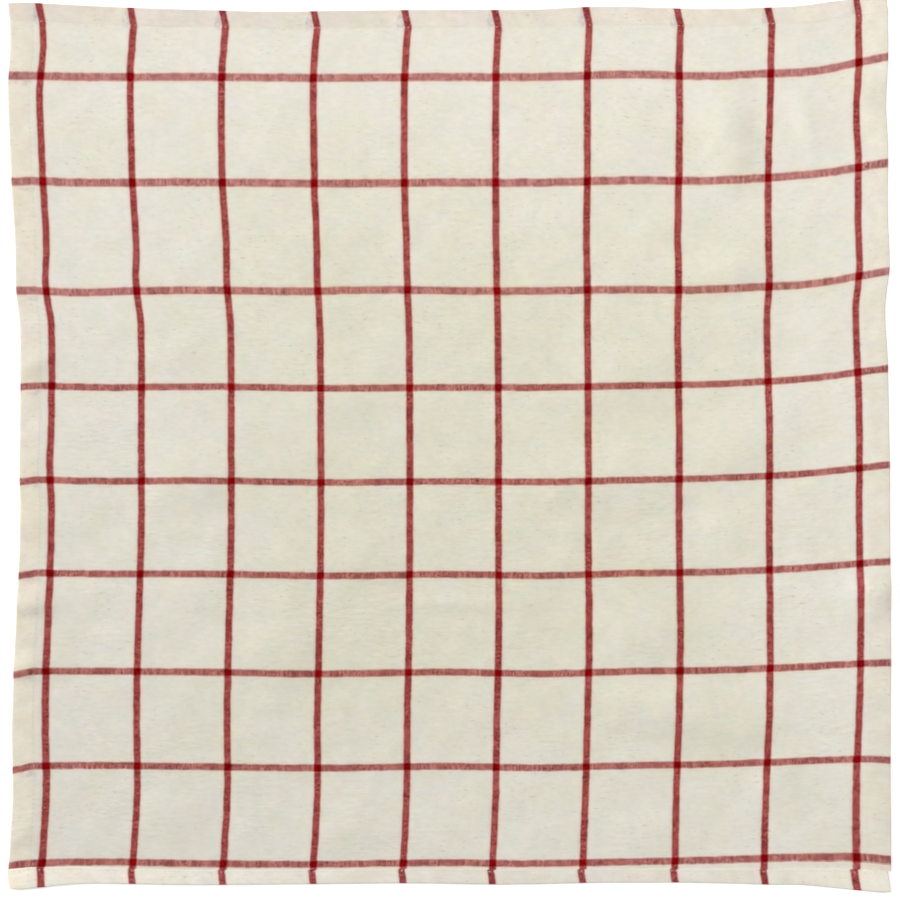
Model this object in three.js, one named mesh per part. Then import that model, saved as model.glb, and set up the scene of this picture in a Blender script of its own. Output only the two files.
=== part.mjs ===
// A square table napkin: one piece of plain-weave cloth with its four hems turned and sewn, laid out
// face up. Millimetres, +Z up. It lies on Z = 0 with the middle of its outline over the origin.

import * as THREE from 'three';

// The hemmed cloth pressed flat: u runs to the right and v to the top, both from its middle
const WIDTH = 508;
const LENGTH = 508;
const CLOTH_THICKNESS = 1;
const FIELD_CELLS = 36;

// Sections of a hem from its outer fold inwards: the inset is a share of the hem's width, and the rise
// is how far the face there stands above the bare cloth's. Turned under, the hem lifts the cloth that
// lies over it. Turned over, it lies on the face and ends in a step.
const TURNED_UNDER = [
  { inset: 0, rise: -0.2 },
  { inset: 0.1, rise: 0.7 },
  { inset: 0.3, rise: 1 },
  { inset: 0.8, rise: 1 },
  { inset: 1, rise: 0.6 },
  { inset: 1.5, rise: 0 },
];
const TURNED_OVER = [
  { inset: 0, rise: -0.2 },
  { inset: 0.1, rise: 0.7 },
  { inset: 0.3, rise: 1 },
  { inset: 0.8, rise: 1 },
  { inset: 0.97, rise: 0.8 },
  { inset: 1.02, rise: 0 },
];

// Width of each hem and the way it was turned
const HEMS = {
  left: { width: 11.5, section: TURNED_UNDER },
  right: { width: 13, section: TURNED_UNDER },
  top: { width: 10, section: TURNED_UNDER },
  bottom: { width: 9, section: TURNED_OVER },
};

// Share of the lower hem's rise that is added where two hems cross at a corner
const CORNER_OVERLAP = 0.3;

// How far threads that run across have strayed to the right, at four places across the cloth
const ACROSS = { left: -236, innerLeft: -79, innerRight: 79, right: 236 };
const SIDEWAYS_STRAY = [
  { at: -254, left: -1, innerLeft: -1, innerRight: -1.5, right: -0.5 },
  { at: -200, left: 2.5, innerLeft: 2, innerRight: 0, right: -0.5 },
  { at: -158, left: 2, innerLeft: 2, innerRight: 1, right: 1.5 },
  { at: -110, left: 2.5, innerLeft: 3, innerRight: 2, right: 2.5 },
  { at: -48, left: 5, innerLeft: 4, innerRight: 1.5, right: 1.5 },
  { at: 10, left: 5, innerLeft: 4, innerRight: 1.5, right: 1.5 },
  { at: 71, left: 5, innerLeft: 3.5, innerRight: 1, right: -0.5 },
  { at: 95, left: 1.5, innerLeft: 2, innerRight: 1, right: 1.5 },
  { at: 120, left: 1.5, innerLeft: 1.5, innerRight: 0.5, right: 1 },
  { at: 155, left: -1, innerLeft: -0.5, innerRight: 1, right: 0.5 },
  { at: 210, left: -2.5, innerLeft: -0.5, innerRight: 1, right: 0.5 },
  { at: 254, left: -1, innerLeft: 1.5, innerRight: 1.5, right: 1.5 },
];

// How far threads that run down have strayed upwards, at four places down the cloth
const DOWN = { bottom: -241, lower: -130, upper: 35, top: 215 };
const UPWARD_STRAY = [
  { at: -254, bottom: 0.5, lower: 0.5, upper: 1, top: 1 },
  { at: -208, bottom: 1.5, lower: 0.5, upper: -0.5, top: 0 },
  { at: -145, bottom: 0.5, lower: 0, upper: 0, top: 0 },
  { at: -75, bottom: 0, lower: -1, upper: -1, top: -0.5 },
  { at: -5, bottom: 1, lower: 0, upper: -0.5, top: 0 },
  { at: 52, bottom: 0.5, lower: -1, upper: -0.5, top: 0 },
  { at: 105, bottom: 1.5, lower: 0.5, upper: 0.5, top: 1.5 },
  { at: 150, bottom: 2.5, lower: 1, upper: 1.5, top: 0.5 },
  { at: 192, bottom: 4, lower: 2.5, upper: 3.5, top: 3 },
  { at: 220, bottom: 4.5, lower: 4, upper: 6, top: 5.5 },
  { at: 238, bottom: 4.5, lower: 5, upper: 8.5, top: 8 },
  { at: 254, bottom: 3, lower: 5.5, upper: 10.5, top: 11.5 },
];

// Edges that run out (or in, below zero) towards a corner: the end is -1 at the left or bottom end
// of that edge, the run is measured along it and the reach into the cloth
const OUTWARD = { left: [-1, 0], right: [1, 0], top: [0, 1], bottom: [0, -1] };
const EDGE_FLARES = [
  { edge: 'top', end: -1, out: 3.5, run: 120, reach: 39 },
  { edge: 'top', end: 1, out: -3, run: 40, reach: 39 },
  { edge: 'bottom', end: -1, out: 2, run: 35, reach: 20 },
  { edge: 'bottom', end: 1, out: 6.5, run: 130, reach: 20 },
  { edge: 'left', end: -1, out: 1.5, run: 145, reach: 25 },
  { edge: 'right', end: -1, out: 2.5, run: 100, reach: 25 },
];

// Soft ripples where the cloth stands off the table: the turn is in degrees from the u direction
const RIPPLES = [
  { u: 161, v: 180, length: 90, width: 42, turn: 103, height: 3.4 },
  { u: 208, v: 183, length: 62, width: 24, turn: 105, height: 1.5 },
  { u: 157, v: 100, length: 80, width: 34, turn: 2, height: 2 },
  { u: 103, v: 42, length: 80, width: 66, turn: 0, height: 2.2 },
  { u: 160, v: -2, length: 78, width: 54, turn: 4, height: 2.4 },
  { u: 88, v: -18, length: 130, width: 54, turn: -3, height: 2.8 },
  { u: 163, v: -55, length: 70, width: 34, turn: -35, height: 1.4 },
  { u: 110, v: -108, length: 84, width: 54, turn: 8, height: 2.2 },
  { u: 134, v: -154, length: 170, width: 50, turn: -10, height: 3 },
  { u: 190, v: -195, length: 60, width: 40, turn: 60, height: 1.2 },
  { u: -55, v: -63, length: 70, width: 52, turn: 3, height: 2.3 },
  { u: -66, v: 30, length: 90, width: 44, turn: 0, height: 1.3 },
  { u: -104, v: -120, length: 70, width: 54, turn: 0, height: 1.8 },
  { u: -153, v: -18, length: 70, width: 54, turn: -5, height: 2.3 },
  { u: -55, v: -220, length: 56, width: 40, turn: 0, height: 1.3 },
  { u: -160, v: -214, length: 60, width: 40, turn: -6, height: 1.3 },
];

const CLOTH_COLOUR = 0xe2dece;
const CLOTH_ROUGHNESS = 0.95;

// The stretch of rising stations that a place falls in, and how far along it, held at both ends
function stretchAt(stations, at) {
  const last = stations.length - 1;
  const place = THREE.MathUtils.clamp(at, stations[0], stations[last]);
  const k = Math.min(stations.findLastIndex((station) => station <= place), last - 1);
  const gap = stations[k + 1] - stations[k];
  return { k, gap, t: (place - stations[k]) / gap };
}

// Straight lines through values at rising stations
function linear(stations, values, at) {
  const { k, t } = stretchAt(stations, at);
  return THREE.MathUtils.lerp(values[k], values[k + 1], t);
}

// A smooth curve through values at rising stations
function follow(stations, values, at) {
  const { k, gap, t } = stretchAt(stations, at);
  const slope = (i) => {
    const before = Math.max(i - 1, 0);
    const after = Math.min(i + 1, stations.length - 1);
    return (values[after] - values[before]) / (stations[after] - stations[before]);
  };
  const ease = t * t * (3 - 2 * t);
  const leave = t * (1 - t) ** 2 * gap * slope(k);
  const arrive = t * t * (t - 1) * gap * slope(k + 1);
  return THREE.MathUtils.lerp(values[k], values[k + 1], ease) + leave + arrive;
}

// A stray read from its table, along the table's rows and then over its named places
function strayAt(table, places, along, over) {
  const rows = table.map((row) => row.at);
  const names = Object.keys(places);
  const values = names.map((name) => follow(rows, table.map((row) => row[name]), along));
  return follow(Object.values(places), values, over);
}

// One at no distance, easing to nothing at the reach
function fadeOut(distance, reach) {
  return 1 - THREE.MathUtils.smoothstep(distance, 0, reach);
}

// How far the edges' flares carry a point of the flat cloth
function flareShift(u, v) {
  const shift = new THREE.Vector2();
  for (const { edge, end, out, run, reach } of EDGE_FLARES) {
    const [outU, outV] = OUTWARD[edge];
    const intoCloth = outU !== 0 ? WIDTH / 2 - outU * u : LENGTH / 2 - outV * v;
    const fromCorner = outU !== 0 ? LENGTH / 2 - end * v : WIDTH / 2 - end * u;
    const amount = out * fadeOut(intoCloth, reach) * fadeOut(fromCorner, run);
    shift.x += outU * amount;
    shift.y += outV * amount;
  }
  return shift;
}

// Where a point of the flat cloth lies on the table
function lay(u, v) {
  const shift = flareShift(u, v);
  const x = u + strayAt(SIDEWAYS_STRAY, ACROSS, v, u) + shift.x;
  const y = v + strayAt(UPWARD_STRAY, DOWN, u, v) + shift.y;
  return { x, y };
}

// Height of the cloth's underside above the table
function rippleLift(u, v) {
  let lift = 0;
  for (const ripple of RIPPLES) {
    const angle = THREE.MathUtils.degToRad(ripple.turn);
    const du = u - ripple.u;
    const dv = v - ripple.v;
    const along = (du * Math.cos(angle) + dv * Math.sin(angle)) / (ripple.length / 2);
    const across = (dv * Math.cos(angle) - du * Math.sin(angle)) / (ripple.width / 2);
    if (Math.abs(along) < 1 && Math.abs(across) < 1) {
      const crest = (1 + Math.cos(Math.PI * along)) * (1 + Math.cos(Math.PI * across));
      lift += ripple.height * crest / 4;
    }
  }
  return lift;
}

// Rise of a hem at a distance from its outer fold
function hemRise(hem, distance) {
  const insets = hem.section.map((row) => row.inset);
  const rises = hem.section.map((row) => row.rise);
  return linear(insets, rises, distance / hem.width);
}

// Thickness of the cloth at a point, hems included
function thickness(u, v) {
  const side = u < 0 ? HEMS.left : HEMS.right;
  const end = v < 0 ? HEMS.bottom : HEMS.top;
  const sideRise = hemRise(side, WIDTH / 2 - Math.abs(u));
  const endRise = hemRise(end, LENGTH / 2 - Math.abs(v));
  const low = Math.min(sideRise, endRise);
  const high = Math.max(sideRise, endRise);
  return CLOTH_THICKNESS + (low < 0 ? low : high + CORNER_OVERLAP * low);
}

// Grid coordinates: one on each row of the two hems' sections, and even ones between
function gridLines(span, lowHem, highHem) {
  const low = lowHem.section.map(({ inset }) => inset * lowHem.width - span / 2);
  const high = highHem.section.map(({ inset }) => span / 2 - inset * highHem.width).reverse();
  const start = low.at(-1);
  const end = high[0];
  const inner = Array.from({ length: FIELD_CELLS - 1 }, (_, i) =>
    THREE.MathUtils.lerp(start, end, (i + 1) / FIELD_CELLS));
  return [...low, ...inner, ...high];
}

// The closed sheet: its face, its underside and the narrow wall round its outer fold
function napkinGeometry() {
  const columns = gridLines(WIDTH, HEMS.left, HEMS.right);
  const rows = gridLines(LENGTH, HEMS.bottom, HEMS.top);
  const face = [];
  const underside = [];
  for (const v of rows) {
    for (const u of columns) {
      const { x, y } = lay(u, v);
      const lift = rippleLift(u, v);
      face.push(x, y, lift + thickness(u, v));
      underside.push(x, y, lift);
    }
  }

  const index = [];
  const pointsAcross = columns.length;
  const below = pointsAcross * rows.length;
  const quad = (a, b, c, d) => index.push(a, b, c, a, c, d);
  for (let row = 0; row < rows.length - 1; row += 1) {
    for (let column = 0; column < pointsAcross - 1; column += 1) {
      const a = row * pointsAcross + column;
      const b = a + 1;
      const c = b + pointsAcross;
      const d = a + pointsAcross;
      quad(a, b, c, d);
      quad(below + d, below + c, below + b, below + a);
    }
  }
  const wall = (from, to) => quad(below + from, below + to, to, from);
  const topRow = (rows.length - 1) * pointsAcross;
  for (let column = 0; column < pointsAcross - 1; column += 1) {
    wall(column, column + 1);
    wall(topRow + column + 1, topRow + column);
  }
  for (let row = 0; row < rows.length - 1; row += 1) {
    const leftPoint = row * pointsAcross;
    const rightPoint = leftPoint + pointsAcross - 1;
    wall(leftPoint + pointsAcross, leftPoint);
    wall(rightPoint, rightPoint + pointsAcross);
  }

  const geometry = new THREE.BufferGeometry();
  geometry.setAttribute('position', new THREE.Float32BufferAttribute([...face, ...underside], 3));
  geometry.setIndex(index);
  geometry.computeBoundingBox();
  const middle = geometry.boundingBox.getCenter(new THREE.Vector3());
  geometry.translate(-middle.x, -middle.y, 0);
  geometry.computeVertexNormals();
  return geometry;
}

const cloth = new THREE.MeshStandardMaterial({
  color: CLOTH_COLOUR,
  roughness: CLOTH_ROUGHNESS,
  metalness: 0,
});

const napkin = new THREE.Mesh(napkinGeometry(), cloth);
napkin.name = 'napkin';

const part = new THREE.Group();
part.add(napkin);

export default part;
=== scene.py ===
"""A checked table napkin, laid out face up on a pale floor and seen from straight above.

Sizes and places are in millimetres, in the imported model's frame, and become metres when a mesh, lamp
or camera is made. On the flat cloth u runs to the right and v to the top, both from its middle.
"""
import math

import bpy
import numpy as np
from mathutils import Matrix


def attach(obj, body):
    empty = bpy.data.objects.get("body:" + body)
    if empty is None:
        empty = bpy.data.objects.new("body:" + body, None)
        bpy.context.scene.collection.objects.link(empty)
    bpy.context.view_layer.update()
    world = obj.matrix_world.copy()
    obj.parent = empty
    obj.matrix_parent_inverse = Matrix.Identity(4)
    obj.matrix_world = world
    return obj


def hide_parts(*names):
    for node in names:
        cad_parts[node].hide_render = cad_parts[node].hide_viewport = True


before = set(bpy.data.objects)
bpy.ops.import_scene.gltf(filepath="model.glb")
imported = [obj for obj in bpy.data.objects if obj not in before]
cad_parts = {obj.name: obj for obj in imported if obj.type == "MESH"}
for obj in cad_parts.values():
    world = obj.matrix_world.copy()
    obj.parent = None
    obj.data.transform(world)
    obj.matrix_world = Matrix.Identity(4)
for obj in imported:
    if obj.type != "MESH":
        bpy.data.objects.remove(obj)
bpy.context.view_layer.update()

MM = 0.001
SEED = 20

# The hemmed cloth pressed flat
WIDTH = 508.0
LENGTH = 508.0
CLOTH_THICKNESS = 0.55
FIELD_CELLS = 184

# The check: places of the stripes that run down, from the left edge, and of those that run across, from
# the top edge
COLUMN_PLACES = (18.2, 70.6, 123, 175.4, 227.8, 280.2, 332.9, 385.8, 438, 490)
ROW_PLACES = (39, 100, 162.8, 218.5, 273, 327, 384, 439, 495.5)

# Threads in one check each way, and how far from a stripe's middle, in threads, its red begins to fade
# and ends
ENDS_PER_CHECK = 95
PICKS_PER_CHECK = 98
RED_FADES = 2.45
RED_ENDS_AT = 5.05

# Sections of a hem from its outer fold inwards: the inset is a share of the hem's width, and the rise
# is how far the face there stands above the bare cloth's
TURNED_UNDER = {
    "inset": (0, 0.3, 0.7, 0.88, 0.95, 1, 1.06, 1.25, 1.65, 2.3, 3.2),
    "rise": (0.55, 0.6, 0.58, 0.55, 0.51, 0.46, 0.43, 0.37, 0.26, 0.1, 0),
    "seam": 1.0,
}
TURNED_OVER = {
    "inset": (0, 0.3, 0.7, 0.82, 0.88, 0.92, 0.965, 0.99, 1, 1.01, 1.1),
    "rise": (0.55, 0.6, 0.58, 0.55, 0.48, 0.52, 0.51, 0.42, 0.24, 0.03, 0),
    "seam": 0.88,
}

# The hems at stations along each edge, to the right or upwards: the width, the slip along the edge at
# the outer fold and at the sewn line, and the shade of the cloth on them, which is partly their layers'
# own colour and partly painted light and shade, lighter on the turned-over hem and darker on the top
# hem. The drag is how far beyond the sewn line the cloth follows it
HEM_STATIONS = (-254, -190, -60, 60, 190, 254)
HEMS = {
    "left": dict(
        section=TURNED_UNDER, drag=6,
        width=(11.5, 11.5, 11.5, 11.5, 12, 12),
        outer_slip=(-1, -2.4, -1.7, -1.2, -0.4, -0.2),
        inner_slip=(0, 0, 0, 0, 0, 0),
        shade=(1.04, 1.03, 1.02, 1, 0.99, 0.99), tint=(1.03, 0.995, 0.962)),
    "right": dict(
        section=TURNED_UNDER, drag=6,
        width=(12.5, 12.5, 13, 13, 13.5, 14),
        outer_slip=(0, 0, 0, 0, 0, 0),
        inner_slip=(0, 0, 0, 0, 0, 0),
        shade=(0.99, 0.985, 0.99, 1, 1.035, 1.05), tint=(1.01, 0.995, 0.973)),
    "top": dict(
        section=TURNED_UNDER, drag=24,
        width=(10, 10, 10, 10, 10, 10),
        outer_slip=(-1.4, -1.4, -1.5, -1.6, -1.3, -1.2),
        inner_slip=(0.3, 0.8, 0.9, 0.7, 0.9, 0.5),
        shade=(0.9, 0.935, 0.93, 0.95, 0.98, 1), tint=(1.03, 0.99, 0.983)),
    "bottom": dict(
        section=TURNED_OVER, drag=0,
        width=(11, 8.8, 9, 8.8, 7, 8),
        outer_slip=(0.4, 0.5, 0.6, 0.3, 0.5, 0.7),
        inner_slip=(-0.8, -0.9, -1, -1.2, -0.9, -1.5),
        shade=(1.2, 1.18, 1.08, 1.02, 1.04, 1.12), tint=(1.005, 0.998, 1)),
}
CORNER_OVERLAP = 0.3

# Share of a hem's width over which its colour gives way to the bare cloth's
SOFT_COVER = 0.3
CRISP_COVER = 0.02

# The turned-over hem's inner edge, just within the last grid line on it
FLAP_EDGE = 0.995

# Stripes of two hems' turned layers show through them: how far off they lie, at the hem's stations, and
# how strongly they show. They come on, fade and stop at shares of the hem's width
GHOSTS = {
    "top": dict(off=(-2.5, -4.2, -4.5, -4, -3.5, -3), strength=1.0),
    "left": dict(off=(-4.2, -4, -3.9, -3.8, -3.8, -3.8), strength=0.8),
}
GHOST_COMES = 0.5
GHOST_FADES = 0.9
GHOST_END = 1.25

# Painted shade: the top hem's outer fold is painted a little darker and pinker
FOLD_PAINTED_SHADE = (0.965, 0.93, 0.945)
FOLD_PAINTED_SHADE_REACH = 1.8

# Insets of the lines that round the outer fold off, and how blunt its very edge stays
FOLD_ROUNDING = 0.9
FOLD_LINES = (0.1, 0.3, 0.6, 0.9)
FOLD_BLUNTNESS = 0.12
GRID_LINES = FIELD_CELLS - 1 + 2 * (len(FOLD_LINES) + len(TURNED_UNDER["inset"]))

# How far threads that run across have strayed to the right, at four places across the cloth
ACROSS = dict(left=-236, inner_left=-79, inner_right=79, right=236)
SIDEWAYS_STRAY = {
    "at": (-254, -200, -158, -110, -48, 10, 71, 95, 120, 155, 210, 254),
    "left": (-1, 2.5, 2, 2.5, 5, 5, 5, 1.5, 1.5, -1, -2.5, -1),
    "inner_left": (-1, 2, 2, 3, 4, 4, 3.5, 2, 1.5, -0.5, -0.5, 1.5),
    "inner_right": (-1.5, 0, 1, 2, 1.5, 1.5, 1, 1, 0.5, 1, 1, 1.5),
    "right": (-0.5, -0.5, 1.5, 2.5, 1.5, 1.5, -0.5, 1.5, 1, 0.5, 0.5, 1.5),
}

# How far threads that run down have strayed upwards, at four places down the cloth
DOWN = dict(bottom=-241, lower=-130, upper=35, top=215)
UPWARD_STRAY = {
    "at": (-254, -208, -145, -75, -5, 52, 105, 150, 192, 220, 238, 254),
    "bottom": (0.5, 1.5, 0.5, 0, 1, 0.5, 1.5, 2.5, 4, 4.5, 4.5, 3),
    "lower": (0.5, 0.5, 0, -1, 0, -1, 0.5, 1, 2.5, 4, 5, 5.5),
    "upper": (1, -0.5, 0, -1, -0.5, -0.5, 0.5, 1.5, 3.5, 6, 8.5, 10.5),
    "top": (1, 0, 0, -0.5, 0, 0, 1.5, 0.5, 3, 5.5, 8, 11.5),
}

# Points along each edge from which the laid outline's middle is found
OUTLINE_STEPS = 400

# Edges that run out (or in, below zero) towards a corner: the end is -1 at the left or bottom end of
# that edge, the run is measured along it and the reach into the cloth
OUTWARD = dict(left=(-1, 0), right=(1, 0), top=(0, 1), bottom=(0, -1))
EDGE_FLARES = (
    dict(edge="top", end=-1, out=3.5, run=120, reach=39),
    dict(edge="top", end=1, out=-3, run=40, reach=39),
    dict(edge="bottom", end=-1, out=2, run=35, reach=15),
    dict(edge="bottom", end=1, out=6.5, run=130, reach=13),
    dict(edge="left", end=-1, out=1.5, run=145, reach=25),
    dict(edge="right", end=-1, out=2.5, run=100, reach=25),
)

# Small pulls of the cloth to the right or upwards, each fading out at its reach both ways
PULLS = (
    dict(u=180, v=214, wide=55, tall=55, right=1.4, up=0),
    dict(u=150, v=190, wide=55, tall=55, right=0.8, up=0),
    dict(u=207, v=216, wide=38, tall=38, right=0, up=-1.2),
    dict(u=203, v=256, wide=32, tall=32, right=0, up=-1.6),
    dict(u=254, v=245, wide=35, tall=35, right=-1.4, up=0),
    dict(u=238, v=186, wide=24, tall=30, right=-1.8, up=0),
    dict(u=238, v=190, wide=30, tall=65, right=1.1, up=0),
    dict(u=237, v=195, wide=26, tall=75, right=0, up=1.2),
    dict(u=207, v=93, wide=38, tall=38, right=0, up=-1.1),
    dict(u=145, v=90, wide=70, tall=70, right=0, up=-0.9),
    dict(u=-240, v=229, wide=28, tall=26, right=2.2, up=0),
    dict(u=-236, v=160, wide=90, tall=90, right=1.1, up=0),
    dict(u=-226, v=88, wide=45, tall=45, right=0, up=-1.1),
    dict(u=-75, v=165, wide=60, tall=60, right=0.8, up=0),
    dict(u=-45, v=91, wide=60, tall=60, right=0, up=1.0),
    dict(u=-240, v=-12, wide=25, tall=25, right=-1.2, up=0),
    dict(u=-215, v=-97, wide=50, tall=50, right=0.6, up=0),
    dict(u=200, v=-97, wide=60, tall=60, right=-0.5, up=0),
    dict(u=60, v=-245, wide=60, tall=60, right=-0.5, up=0),
    dict(u=190, v=-245, wide=60, tall=60, right=-0.7, up=0),
    dict(u=-254, v=98, wide=20, tall=24, right=1, up=0),
    dict(u=-254, v=-165, wide=30, tall=85, right=-1.2, up=0),
    dict(u=254, v=190, wide=20, tall=40, right=-1.3, up=0),
    dict(u=254, v=125, wide=20, tall=50, right=-0.7, up=0),
    dict(u=254, v=66, wide=20, tall=30, right=-0.8, up=0),
    dict(u=254, v=10, wide=20, tall=45, right=-0.7, up=0),
    dict(u=254, v=-100, wide=20, tall=50, right=-0.6, up=0),
    dict(u=254, v=-197, wide=20, tall=60, right=1.2, up=0),
    dict(u=-105, v=254, wide=45, tall=16, right=0, up=-0.8),
    dict(u=78, v=254, wide=40, tall=16, right=0, up=0.8),
    dict(u=175, v=254, wide=30, tall=16, right=0, up=-0.7),
    dict(u=-235, v=-254, wide=30, tall=14, right=0, up=-0.8),
    dict(u=-65, v=-254, wide=105, tall=14, right=0, up=1.3),
    dict(u=75, v=-254, wide=70, tall=14, right=0, up=0.9),
    dict(u=205, v=-254, wide=22, tall=14, right=0, up=0.8),
    dict(u=242, v=-254, wide=22, tall=14, right=0, up=-1),
)

# Corners that are rounded off, and the turned-over hem's right end, which is set in
CORNER_CUTS = (
    dict(right=-1, up=-1, cut=1.3, reach=6),
    dict(right=1, up=-1, cut=0.6, reach=4),
    dict(right=-1, up=1, cut=0.5, reach=8),
)
FLAP_END_INSET = 0.4
FLAP_END_REACH = 14

# Soft ripples where the cloth stands off the table, the large ones first: the turn is in degrees from
# the u direction
RIPPLES = (
    dict(u=161, v=180, length=90, width=42, turn=103, height=3.4),
    dict(u=208, v=183, length=62, width=24, turn=105, height=1.5),
    dict(u=99, v=180, length=50, width=46, turn=80, height=1.0),
    dict(u=157, v=100, length=80, width=34, turn=2, height=2.0),
    dict(u=213, v=62, length=45, width=36, turn=0, height=0.9),
    dict(u=160, v=71, length=60, width=36, turn=0, height=1.0),
    dict(u=103, v=42, length=80, width=66, turn=0, height=2.2),
    dict(u=160, v=-2, length=78, width=54, turn=4, height=2.4),
    dict(u=88, v=-18, length=130, width=54, turn=-3, height=2.8),
    dict(u=163, v=-55, length=70, width=34, turn=-35, height=1.4),
    dict(u=110, v=-108, length=84, width=54, turn=8, height=2.2),
    dict(u=134, v=-154, length=170, width=50, turn=-10, height=3.0),
    dict(u=190, v=-195, length=60, width=40, turn=60, height=1.2),
    dict(u=112, v=-222, length=60, width=30, turn=8, height=1.1),
    dict(u=-55, v=-63, length=70, width=52, turn=3, height=2.3),
    dict(u=-66, v=30, length=90, width=44, turn=0, height=1.3),
    dict(u=-104, v=-120, length=70, width=54, turn=0, height=1.8),
    dict(u=-153, v=-18, length=70, width=54, turn=-5, height=2.3),
    dict(u=-165, v=55, length=60, width=30, turn=20, height=0.9),
    dict(u=-55, v=-220, length=56, width=40, turn=0, height=1.3),
    dict(u=-160, v=-214, length=60, width=40, turn=-6, height=1.3),
    dict(u=-67, v=43, length=50, width=14, turn=2, height=0.35),
    dict(u=3, v=-90, length=150, width=14, turn=0, height=0.7),
    dict(u=225, v=-165, length=30, width=9, turn=-20, height=0.5),
    dict(u=216, v=-176, length=34, width=9, turn=-14, height=0.4),
    dict(u=244, v=197, length=34, width=26, turn=-15, height=1.1),
    dict(u=246, v=177, length=30, width=19, turn=-25, height=1.0),
    dict(u=245, v=-88, length=40, width=22, turn=-16, height=2.4),
    dict(u=245, v=-92, length=40, width=46, turn=-16, height=2.6),
    dict(u=-247, v=48, length=40, width=24, turn=8, height=1.8),
    dict(u=-247, v=-43, length=40, width=26, turn=0, height=0.8),
    dict(u=-247, v=-90, length=40, width=19, turn=-12, height=3.0),
    dict(u=-247, v=-126, length=38, width=22, turn=-10, height=1.8),
    dict(u=-250, v=-225, length=30, width=22, turn=0, height=1.1),
)

# Share of the flat map that the cloth takes up, with its thin outer wall round it
FLAT_MAP_SHARE = 0.976

# Sides of the sheet and corners of each of its faces, which come before the outer wall's
SHEET_SIDES = 2
QUAD_CORNERS = 4

# Slow unevenness of the whole cloth, a sum of waves. It is divided by the spread, in square roots of the
# count, before it is cut off at both ends, and it fades out towards the edges
WAVE_LENGTHS = (18, 60)
WAVE_COUNT = 26
WAVE_HEIGHT = 0.55
WAVE_SPREAD = 2.2
WAVE_FADE = 30

# Sewing along the hems: only a short part of each stitch shows. Its rise is the height of its middle and
# its dive the drop to its ends, both in thread radii. Its ends taper to a share of the radius, and it
# strays from the seam's heading by an angle in radians
STITCH_LENGTH = 1.3
STITCH_PITCH = 2.7
STITCH_RISE = 0.5
STITCH_DIVE = 2
STITCH_TAPER = 0.25
STITCH_STRAY = 0.05
SEAM_END = 4
THREAD_RADIUS = 0.16
THREAD_SIDES = 6
THREAD_RINGS = 7

# The photograph's frame: its scale on the cloth, and where the flat cloth's middle falls in it
PHOTO_SIZE = 900
MM_PER_PIXEL = 0.58
MIDDLE_PIXEL = (449.5, 447.9)
CAMERA_LENS = 100
CAMERA_SENSOR = 36
FLOOR_SIDE = 8000
FLOOR_DROP = 0.2


# The lay of the cloth

def follow(stations, values, at):
    """A smooth curve through values at rising stations, held level past both ends.

    The values are one for each station, or a row of them for each station with one for each place."""
    stations = np.asarray(stations, float)
    values = np.asarray(values, float)
    if values.ndim == 1:
        values = np.repeat(values[:, None], len(at), axis=1)
    last = len(stations) - 1
    before = np.maximum(np.arange(last + 1) - 1, 0)
    after = np.minimum(np.arange(last + 1) + 1, last)
    slopes = (values[after] - values[before]) / (stations[after] - stations[before])[:, None]
    place = np.clip(at, stations[0], stations[last])
    k = np.clip(np.searchsorted(stations, place, side="right") - 1, 0, last - 1)
    point = np.arange(len(place))
    gap = stations[k + 1] - stations[k]
    t = (place - stations[k]) / gap
    ease = t * t * (3 - 2 * t)
    curve = values[k, point] * (1 - ease) + values[k + 1, point] * ease
    leave = t * (1 - t) ** 2 * gap * slopes[k, point]
    arrive = t * t * (t - 1) * gap * slopes[k + 1, point]
    return curve + leave + arrive


def stray_at(table, places, along, over):
    """A stray read from its table, along the table's rows and then over its named places."""
    values = np.array([follow(table["at"], table[name], along) for name in places])
    return follow(list(places.values()), values, over)


def fade_out(distance, reach):
    """One at no distance, easing to nothing at the reach."""
    t = np.clip(distance / reach, 0, 1)
    return 1 - t * t * (3 - 2 * t)


def edge_distances(u, v):
    """Distance of each point of the flat cloth from each edge."""
    return {
        "left": WIDTH / 2 + u,
        "right": WIDTH / 2 - u,
        "top": LENGTH / 2 - v,
        "bottom": LENGTH / 2 + v,
    }


def lay(u, v):
    """Where points of the flat cloth lie on the table, before the hems' own slip."""
    x = u + stray_at(SIDEWAYS_STRAY, ACROSS, v, u)
    y = v + stray_at(UPWARD_STRAY, DOWN, u, v)
    for flare in EDGE_FLARES:
        out_u, out_v = OUTWARD[flare["edge"]]
        from_corner = LENGTH / 2 - flare["end"] * v if out_u else WIDTH / 2 - flare["end"] * u
        into_cloth = edge_distances(u, v)[flare["edge"]]
        amount = flare["out"] * fade_out(into_cloth, flare["reach"]) * fade_out(from_corner, flare["run"])
        x = x + out_u * amount
        y = y + out_v * amount
    return x, y


def outline_middle():
    """The middle of the laid outline, which is over the frame's origin."""
    step = np.linspace(-0.5, 0.5, OUTLINE_STEPS)
    ends = np.full_like(step, 0.5)
    u = WIDTH * np.concatenate([step, step, -ends, ends])
    v = LENGTH * np.concatenate([-ends, ends, step, step])
    x, y = lay(u, v)
    return (x.min() + x.max()) / 2, (y.min() + y.max()) / 2


MIDDLE_X, MIDDLE_Y = outline_middle()


def along_hem(name, column, u, v):
    """A hem's value at the place beside each point of the flat cloth."""
    along = v if OUTWARD[name][0] else u
    return np.interp(along, HEM_STATIONS, HEMS[name][column])


def hem_share(name, u, v):
    """Distance of each point from a hem's outer fold, as a share of the hem's width there."""
    return edge_distances(u, v)[name] / along_hem(name, "width", u, v)


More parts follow.
